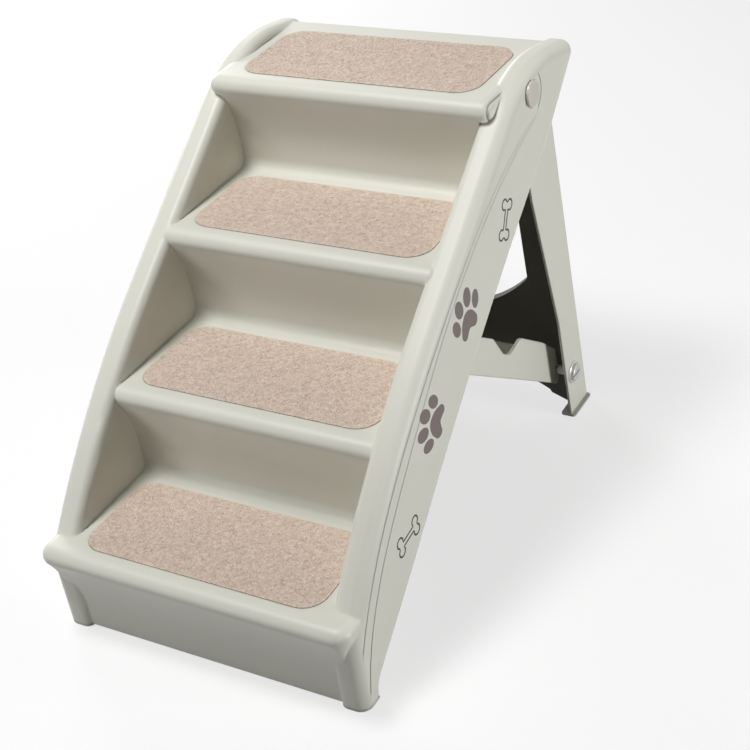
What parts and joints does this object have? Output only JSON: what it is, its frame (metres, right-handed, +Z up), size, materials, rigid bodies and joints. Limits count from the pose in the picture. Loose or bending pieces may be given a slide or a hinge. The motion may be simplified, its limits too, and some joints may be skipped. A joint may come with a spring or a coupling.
{
  "type": "folding pet stairs",
  "caption": "Folding moulded pet stairs with felt tread mats, side rails, a hinged rear leg and a tray-shaped brace that locks it open",
  "frame": {"origin": "on the floor under the centre of the overall box", "axes": "+X to the right seen from the front, where a pet starts to climb; +Y to the back, up the flight; +Z up"},
  "size_m": [0.4142, 0.648, 0.5083],
  "materials": {
    "shell_plastic": "light warm grey, fine moulded grain",
    "felt": "beige needle felt",
    "dark_plastic": "near-black, fine moulded grain",
    "cap_plastic": "light warm grey, satin",
    "bush_plastic": "natural nylon",
    "rubber": "light grey, matt",
    "steel": "zinc-plated, bright"
  },
  "bodies": {
    "stairs": {"stair_body": "shell_plastic", "tread_mat_1": "felt", "tread_mat_2": "felt", "tread_mat_3": "felt", "tread_mat_4": "felt", "front_foot_left": "rubber", "front_foot_right": "rubber", "hinge_pin_left": "steel", "hinge_pin_right": "steel", "hinge_cap_left": "cap_plastic", "hinge_cap_right": "cap_plastic", "hinge_bush_left": "bush_plastic", "hinge_bush_right": "bush_plastic", "hinge_washer_left": "steel", "hinge_washer_right": "steel", "hinge_nut_left": "steel", "hinge_nut_right": "steel", "brace_rod": "steel", "rod_clip_left": "steel", "rod_clip_right": "steel"},
    "rear_leg": {"leg_cheek_left": "shell_plastic", "leg_cheek_right": "shell_plastic", "leg_panel": "dark_plastic", "panel_screws_left": "steel", "panel_screws_right": "steel", "leg_stud_left": "steel", "leg_stud_right": "steel", "stud_collar_left": "steel", "stud_collar_right": "steel", "stud_nut_left": "steel", "stud_nut_right": "steel", "stud_sleeve_left": "bush_plastic", "stud_sleeve_right": "bush_plastic", "rear_foot_left": "rubber", "rear_foot_right": "rubber"},
    "brace": {"support_brace": "shell_plastic"}
  },
  "joints": [
    {"name": "leg_fold", "type": "hinge", "parent": "stairs", "child": "rear_leg", "pos_m": [0, 0.20205, 0.48], "axis": [-1, 0, 0], "range_deg": [0, 43]},
    {"name": "brace_fold", "type": "hinge", "parent": "stairs", "child": "brace", "pos_m": [0, 0.01881, 0.23318], "axis": [-1, 0, 0], "range_deg": [0, 103.2]}
  ],
  "couplings": [
    {"joint": "brace_fold", "follows": "leg_fold", "ratio": 2.4}
  ]
}
